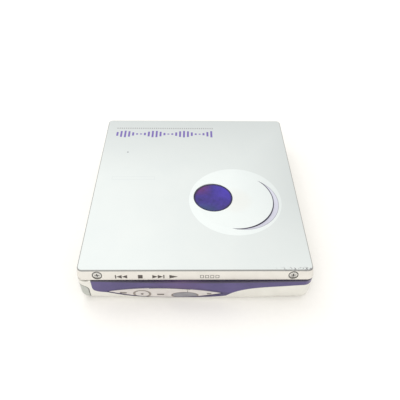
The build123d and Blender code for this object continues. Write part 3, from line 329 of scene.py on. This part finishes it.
def violet_trim():
    s = Shader("trim_violet")
    x, _, z = s.axes()
    base = mottled(s, rgb(0.046, 0.030, 0.140), rgb(0.066, 0.044, 0.175), 7 * MM)
    left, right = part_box("skip_rocker"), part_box("group_key")
    middle, reach = (left[0][0] + right[1][0]) / 2, (right[1][0] - left[0][0]) / 2 + 2.2 * MM
    bow = s.math("DIVIDE", s.math("SUBTRACT", x, middle), reach)
    arch = s.math("SUBTRACT", 1.0, s.math("MULTIPLY", bow, bow))
    brow = s.math("ADD", s.math("MULTIPLY", arch, 3.9 * MM), left[0][2] + 2.4 * MM)
    # Painted shade: the trim darkens in its concave recess under an arched brow above the key panel.
    scallop_shade = s.ramp(s.math("SUBTRACT", z, brow), 0.5 * MM, -0.3 * MM)
    colour = s.mix(s.math("MULTIPLY", scallop_shade, 0.7), base, rgb(0.034, 0.022, 0.088))
    # Painted shadow: the top of the trim band darkens under the lid's edge.
    band_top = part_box("side_trim")[1][2]
    colour = s.mix(s.ramp(z, band_top - 0.75 * MM, band_top - 0.35 * MM), colour, rgb(0.02, 0.013, 0.045))
    # Painted highlight: a lighter, warmer sheen on the trim, a little right of the key panel's middle.
    warm_sheen = s.math("MULTIPLY", s.ramp(s.math("ABSOLUTE", s.math("ADD", bow, -0.25)), 0.5, 0.0), 0.35)
    colour = s.mix(warm_sheen, colour, rgb(0.13, 0.055, 0.20))
    haze = s.noise(0.2 * MM, 2.0)
    s.set(Base_Color=colour, Roughness=s.ramp(haze, 0.3, 0.7, 0.30, 0.38))
    s.set(Coat_Weight=0.25, Coat_Roughness=0.12)
    s.bump(haze, 0.006 * MM, 0.3)
    return s.material


def key_finish(name, base, other):
    s = Shader(name)
    x, _, z = s.axes()
    grain = s.noise(0.12 * MM, 2.0)
    colour = mottled(s, base, other, 2.5 * MM)
    rings, marks = 0.0, 0.0
    for key, wide, squat in KEY_RINGS:
        low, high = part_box(key)
        reach = (high[0] - low[0]) / 2
        half = (reach, reach * squat)
        middle = (low[0] + half[0], high[2] - half[1])
        out = s.ellipse(x, z, middle, half)
        rings = s.math("MAXIMUM", rings, s.band(out, 1.0, 1.0 + wide / half[1], 0.03))
    colour = s.mix(s.math("MULTIPLY", rings, 0.8), colour, rgb(0.20, 0.165, 0.135))
    for middle, size in key_marks():
        marks = s.math("MAXIMUM", marks, s.rectangle(x, z, middle, size))
    colour = s.mix(marks, colour, rgb(0.085, 0.07, 0.06))
    s.set(Base_Color=colour, Metallic=0.15)
    s.set(Roughness=s.ramp(grain, 0.3, 0.7, 0.34, 0.46))
    s.bump(grain, 0.01 * MM, 0.5)
    return s.material


def key_marks():
    """The raised marks printed dark: a bar each side of the stop key, its dot, and one at the right."""
    stop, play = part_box("stop_key"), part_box("play_key")
    stop_x, play_x = [(low[0] + high[0]) / 2 for low, high in (stop, play)]
    stop_z = stop[1][2] - 1.6 * MM
    return [((stop_x - 6.0 * MM, stop_z + 0.45 * MM), (2.2 * MM, 0.45 * MM)),
            ((stop_x, stop_z), (0.8 * MM, 0.6 * MM)),
            ((stop_x + 5.9 * MM, stop_z - 0.15 * MM), (2.2 * MM, 0.45 * MM)),
            ((play_x + 7.8 * MM, stop_z + 0.3 * MM), (1.4 * MM, 0.4 * MM))]


def window_tint():
    """Deep violet lens whose coating shifts towards red at one edge and green at another."""
    s = Shader("window_tint")
    x, y, _ = s.axes()
    across = s.ramp(x, WINDOW[0][0], WINDOW[1][0])
    along = s.ramp(y, WINDOW[0][1], WINDOW[1][1])
    cloud = s.noise(2.4 * MM, 4.0, 0.6)
    colour = s.mix(s.ramp(cloud, 0.35, 0.65), rgb(0.026, 0.016, 0.15), rgb(0.050, 0.028, 0.27))
    bright = s.math("MULTIPLY", s.ramp(across, 0.35, 0.95), s.ramp(along, 0.2, 0.75))
    colour = s.mix(s.math("MULTIPLY", bright, 0.7), colour, rgb(0.070, 0.040, 0.56))
    red = s.math("MULTIPLY", s.ramp(across, 0.5, 0.12), s.ramp(along, 0.55, 0.9))
    colour = s.mix(s.math("MULTIPLY", red, 0.8), colour, rgb(0.20, 0.025, 0.12))
    green = s.math("MULTIPLY", s.ramp(across, 0.75, 0.2), s.ramp(along, 0.35, 0.05))
    colour = s.mix(s.math("MULTIPLY", green, 0.7), colour, rgb(0.02, 0.09, 0.13))
    middle, reach = window_mid[:2], (WINDOW[1][0] - WINDOW[0][0]) / 2
    edge = s.ramp(s.ellipse(x, y, middle, (reach, reach)), 0.86, 0.97)
    colour = s.mix(edge, colour, rgb(0.012, 0.010, 0.035))
    s.set(Base_Color=colour, Roughness=0.22, Coat_Weight=0.2, Coat_Roughness=0.06, Specular_IOR_Level=0.3)
    s.bump(cloud, 0.01 * MM, 0.1)
    return s.material


def metal(name, base, other, rough, brush=None, size=0.3 * MM):
    s = Shader(name)
    grain = s.noise(size, 3.0, 0.6, brush)
    s.set(Base_Color=s.mix(s.ramp(grain, 0.35, 0.65), base, other), Metallic=1.0)
    s.set(Roughness=s.ramp(grain, 0.3, 0.7, rough - 0.06, rough + 0.08))
    s.bump(grain, 0.006 * MM, 0.5)
    return s.material


def lid_screw_metal():
    """Nickel with a shadowed cross recess, for heads that face sideways."""
    s = Shader("lid_screw_metal")
    x, _, z = s.axes()
    turned = s.noise(0.12 * MM, 2.0)
    recess = 0.0
    for place in screw_places()[0]:
        for size in ((1.5 * MM, 0.32 * MM), (0.32 * MM, 1.5 * MM)):
            recess = s.math("MAXIMUM", recess, s.rectangle(x, z, place, size, 0.03 * MM))
    base = s.mix(s.ramp(turned, 0.35, 0.65), rgb(0.62, 0.61, 0.58), rgb(0.72, 0.71, 0.68))
    s.set(Base_Color=s.mix(recess, base, rgb(0.03, 0.03, 0.03)), Metallic=0.7, Roughness=0.3)
    s.bump(turned, 0.005 * MM, 0.4)
    return s.material


def plastic(name, base, other, rough, size=0.25 * MM, coat=0.0):
    s = Shader(name)
    grain = s.noise(size, 3.0)
    s.set(Base_Color=mottled(s, base, other, 3 * MM), Coat_Weight=coat)
    s.set(Roughness=s.ramp(grain, 0.3, 0.7, rough - 0.05, rough + 0.08))
    s.bump(grain, 0.015 * MM, 0.5)
    return s.material


def circuit_board():
    """Green solder mask with copper tracks showing faintly through it."""
    s = Shader("board_green")
    x, y, _ = s.axes()
    wander = s.math("MULTIPLY", s.noise(6 * MM, 1.0), 4 * MM)
    tracks = s.band(s.math("FRACT", s.math("DIVIDE", s.math("ADD", x, wander), 1.1 * MM)), 0.2, 0.5, 0.05)
    cross = s.band(s.math("FRACT", s.math("DIVIDE", s.math("ADD", y, wander), 2.3 * MM)), 0.2, 0.35, 0.05)
    copper = s.math("MAXIMUM", tracks, cross)
    s.set(Base_Color=s.mix(copper, rgb(0.012, 0.10, 0.045), rgb(0.03, 0.20, 0.09)), Roughness=0.38)
    s.bump(copper, 0.02 * MM, 0.6)
    return s.material


def printed_ink():
    s = Shader("print_ink")
    s.set(Base_Color=mottled(s, rgb(0.055, 0.045, 0.04), rgb(0.10, 0.085, 0.075), 0.4 * MM), Roughness=0.55)
    return s.material


def studio_floor():
    s = Shader("floor_paper")
    fibre = s.noise(1.5 * MM, 4.0)
    paper = s.mix(s.ramp(fibre, 0.3, 0.7), rgb(0.925, 0.915, 0.895), rgb(0.94, 0.93, 0.91))
    s.set(Base_Color=paper, Roughness=0.7)
    s.bump(fibre, 0.02 * MM, 0.3)
    return s.material


def finishes():
    """One material for each of the record's slots."""
    steel = rgb(0.55, 0.55, 0.54)
    return {
        "lid_paint": lid_paint(),
        "case_silver": silver_case(),
        "trim_purple": violet_trim(),
        "key_silver": key_finish("key_silver", rgb(0.60, 0.565, 0.545), rgb(0.66, 0.625, 0.60)),
        "key_grey": key_finish("key_grey", rgb(0.235, 0.23, 0.25), rgb(0.29, 0.285, 0.305)),
        "window_tint": window_tint(),
        "dark_plastic": plastic("dark_plastic", rgb(0.022, 0.022, 0.025), rgb(0.035, 0.035, 0.04), 0.45),
        "steel": metal("pressed_steel", steel, rgb(0.62, 0.62, 0.61), 0.32, (1, 12, 1)),
        "screw_steel": metal("nickel", rgb(0.66, 0.655, 0.63), rgb(0.74, 0.73, 0.70), 0.22),
        "brass": metal("brass", rgb(0.66, 0.46, 0.17), rgb(0.74, 0.54, 0.22), 0.26),
        "rubber": plastic("rubber", rgb(0.02, 0.02, 0.02), rgb(0.035, 0.035, 0.035), 0.75),
        "board_green": circuit_board(),
        "chip_black": plastic("chip_epoxy", rgb(0.012, 0.012, 0.013),
                              rgb(0.022, 0.022, 0.024), 0.5, 0.1 * MM),
        "cell_wrap": plastic("cell_sleeve", rgb(0.09, 0.15, 0.22),
                             rgb(0.12, 0.19, 0.27), 0.25, 1.5 * MM, 0.4),
        "flex_amber": plastic("flex_film", rgb(0.48, 0.19, 0.02),
                              rgb(0.56, 0.25, 0.04), 0.25, 0.6 * MM, 0.3),
        "gear_white": plastic("acetal", rgb(0.74, 0.73, 0.68), rgb(0.80, 0.79, 0.74), 0.4),
        "lens_glass": plastic("lens_coating", rgb(0.10, 0.06, 0.30),
                              rgb(0.06, 0.10, 0.34), 0.08, 0.8 * MM, 0.8),
    }


def dress_frame(made):
    """Gives every CAD node the finish of its slot."""
    slots = {row["node"]: row["material_slot"] for row in frame["record"]["subparts"]}
    for name, node in frame["nodes"].items():
        material = made[slots[name]]
        if name == "battery_door":
            material = door_silver()
        if name == "lid_screws":
            material = lid_screw_metal()
        node.data.materials.clear()
        node.data.materials.append(material)


# ---------------------------------------------------------------- pieces on the surface
def surface_finder(*names):
    """How far out along -Y the given nodes' surface is, at any (x, z)."""
    trees = []
    for name in names:
        mesh = frame["nodes"][name].data
        corners = [vertex.co.copy() for vertex in mesh.vertices]
        trees.append(BVHTree.FromPolygons(corners, [list(face.vertices) for face in mesh.polygons]))

    def find(x, z):
        hits = [tree.ray_cast(Vector((x, -1.0, z)), Vector((0, 1, 0)))[0] for tree in trees]
        found = [hit.y for hit in hits if hit is not None]
        return min(found) if found else None

    return find


def make_piece(name, bm, material, body):
    mesh = bpy.data.meshes.new(name)
    bmesh.ops.recalc_face_normals(bm, faces=bm.faces)
    bm.to_mesh(mesh)
    bm.free()
    piece = bpy.data.objects.new(name, mesh)
    bpy.context.collection.objects.link(piece)
    mesh.materials.append(material)
    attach(piece, body)
    return piece


def stamp(bm, loop, find):
    """Adds a thin closed plate with the outline loop, in (x, z), lying on the surface."""
    front, back = [], []
    for x, z in loop:
        y = find(x, z)
        front.append(bm.verts.new((x, y - PRINT_T, z)))
        back.append(bm.verts.new((x, y + PRINT_T, z)))
    bm.faces.new(front)
    bm.faces.new(list(reversed(back)))
    for i in range(len(loop)):
        j = (i + 1) % len(loop)
        bm.faces.new((front[i], back[i], back[j], front[j]))


def rect(x0, x1, z0, z1):
    return [(x0, z0), (x1, z0), (x1, z1), (x0, z1)]


def triangle(x0, x1, high):
    """A triangle pointing from x0 to x1."""
    return [(x0, PRINT_Z - high / 2), (x1, PRINT_Z), (x0, PRINT_Z + high / 2)]


def key_symbols(ink):
    """The symbols printed on the skirt over the keys: skip back, stop, skip on, play and group."""
    find = surface_finder("lid_panel")
    high, low, top = PRINT_HIGH, PRINT_Z - PRINT_HIGH / 2, PRINT_Z + PRINT_HIGH / 2
    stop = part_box("stop_key")
    middle = (stop[0][0] + stop[1][0]) / 2
    back = middle - 5.9 * MM
    on = middle + 5.55 * MM
    bm = bmesh.new()
    stamp(bm, rect(back - 1.9 * MM, back - 1.55 * MM, low, top), find)
    stamp(bm, triangle(back + 0.15 * MM, back - 1.5 * MM, high), find)
    stamp(bm, triangle(back + 1.85 * MM, back + 0.2 * MM, high), find)
    stamp(bm, rect(middle - 0.72 * MM, middle + 0.72 * MM, low, top), find)
    stamp(bm, triangle(on - 1.85 * MM, on - 0.2 * MM, high), find)
    stamp(bm, triangle(on - 0.15 * MM, on + 1.5 * MM, high), find)
    stamp(bm, rect(on + 1.55 * MM, on + 1.9 * MM, low, top), find)
    stamp(bm, triangle(middle + 9.0 * MM, middle + 11.65 * MM, high), find)
    for i in range(4):
        frame_box(bm, middle + (18.5 + i * 1.6) * MM, 1.15 * MM, 0.16 * MM, find)
    return make_piece("key_symbols", bm, ink, "lid")


def frame_box(bm, x0, size, line, find):
    """A small outlined square, as four bars."""
    z0 = PRINT_Z - size / 2
    x1, z1 = x0 + size, z0 + size
    stamp(bm, rect(x0, x1, z0, z0 + line), find)
    stamp(bm, rect(x0, x1, z1 - line, z1), find)
    stamp(bm, rect(x0, x0 + line, z0 + line, z1 - line), find)
    stamp(bm, rect(x1 - line, x1, z0 + line, z1 - line), find)


def arc_through(a, b, c, count):
    """Points along the arc from a through b to c, in two dimensions."""
    (ax, ay), (bx, by), (cx, cy) = a, b, c
    d = 2 * (ax * (by - cy) + bx * (cy - ay) + cx * (ay - by))
    a2, b2, c2 = ax * ax + ay * ay, bx * bx + by * by, cx * cx + cy * cy
    ux = (a2 * (by - cy) + b2 * (cy - ay) + c2 * (ay - by)) / d
    uy = (a2 * (cx - bx) + b2 * (ax - cx) + c2 * (bx - ax)) / d
    radius = math.hypot(ax - ux, ay - uy)
    start, end = math.atan2(ay - uy, ax - ux), math.atan2(cy - uy, cx - ux)
    turn = (end - start + math.pi) % (2 * math.pi) - math.pi
    steps = [start + turn * i / count for i in range(count + 1)]
    return [(ux + radius * math.cos(t), uy + radius * math.sin(t)) for t in steps]


def key_surround(material):
    """A fine dark bead in the seam round the pointed key panel."""
    find = surface_finder("side_trim", "bottom_case")
    rocker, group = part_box("skip_rocker"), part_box("group_key")
    left = (rocker[0][0] - 0.55 * MM, rocker[0][2] + 2.45 * MM)
    right = (group[1][0] + 0.5 * MM, left[1] - 0.4 * MM)
    top, low = rocker[0][2] + 5.12 * MM, rocker[0][2] - 0.35 * MM
    upper = arc_through(left, (left[0] + 17.0 * MM, top), right, 60)
    lower = arc_through(right, (right[0] - 16.5 * MM, low), left, 60)
    path = upper[:-1] + lower[:-1]
    wide, proud = 0.15 * MM, 0.05 * MM
    centre = (sum(p[0] for p in path) / len(path), sum(p[1] for p in path) / len(path))
    bm = bmesh.new()
    rings = []
    for x, z in path:
        out = Vector((x - centre[0], (z - centre[1]) * 6)).normalized()
        y = find(x + out.x * wide, z + out.y * wide)
        if y is None:
            continue
        rings.append([
            bm.verts.new((x + out.x * wide, y + proud, z + out.y * wide)),
            bm.verts.new((x + out.x * wide * 0.5, y - proud, z + out.y * wide * 0.5)),
            bm.verts.new((x - out.x * wide * 0.5, y - proud, z - out.y * wide * 0.5)),
            bm.verts.new((x - out.x * wide, y + proud * 2, z - out.y * wide)),
        ])
    for i, ring in enumerate(rings):
        after = rings[(i + 1) % len(rings)]
        for k in range(4):
            m = (k + 1) % 4
            bm.faces.new((ring[k], ring[m], after[m], after[k]))
    return make_piece("key_surround", bm, material, "case")


# ---------------------------------------------------------------- studio
def make_camera():
    cy, sy = math.cos(CAMERA_YAW), math.sin(CAMERA_YAW)
    cp, sp = math.cos(CAMERA_PITCH), math.sin(CAMERA_PITCH)
    forward = Vector((sy * cp, cy * cp, -sp))
    right = Vector((cy, -sy, 0))
    up = right.cross(forward)
    cr, sr = math.cos(CAMERA_ROLL), math.sin(CAMERA_ROLL)
    turned_right, turned_up = right * cr + up * sr, up * cr - right * sr
    data = bpy.data.cameras.new("camera")
    data.lens, data.sensor_width = CAMERA_LENS, 36.0
    data.clip_start, data.clip_end = 0.01, 10.0
    camera = bpy.data.objects.new("camera", data)
    columns = (turned_right, turned_up, -forward, Vector(CAMERA_AT))
    camera.matrix_world = Matrix([[column[row] for column in columns] for row in range(3)] + [[0, 0, 0, 1]])
    bpy.context.collection.objects.link(camera)
    bpy.context.scene.camera = camera


def soft_light(name, at, size, power, colour):
    data = bpy.data.lights.new(name, "AREA")
    data.shape, data.size, data.energy, data.color = "SQUARE", size, power, colour
    light = bpy.data.objects.new(name, data)
    light.location = at
    light.rotation_euler = (-Vector(at)).to_track_quat("-Z", "Y").to_euler()
    bpy.context.collection.objects.link(light)


def make_studio(floor_material):
    bm = bmesh.new()
    bmesh.ops.create_grid(bm, x_segments=24, y_segments=24, size=1.2)
    mesh = bpy.data.meshes.new("floor")
    bm.to_mesh(mesh)
    bm.free()
    mesh.materials.append(floor_material)
    floor = bpy.data.objects.new("floor", mesh)
    floor.location = (0, 0, CAD_BOX[0][2] - 0.01 * MM)
    bpy.context.collection.objects.link(floor)
    world = bpy.data.worlds.new("studio")
    world.use_nodes = True
    world.node_tree.nodes["Background"].inputs["Color"].default_value = (1.0, 0.985, 0.96, 1)
    world.node_tree.nodes["Background"].inputs["Strength"].default_value = 1.0
    bpy.context.scene.world = world
    soft_light("key", (-0.22, 0.30, 0.62), 0.45, 0.9, (0.98, 1.0, 1.0))
    soft_light("fill", (-0.2, -0.5, 0.35), 0.5, 0.8, (1.0, 0.98, 0.95))


bpy.context.scene.view_settings.view_transform = "Standard"
make_camera()
materials = finishes()
dress_frame(materials)
ink = printed_ink()
key_symbols(ink)
key_surround(materials["dark_plastic"])
make_studio(studio_floor())
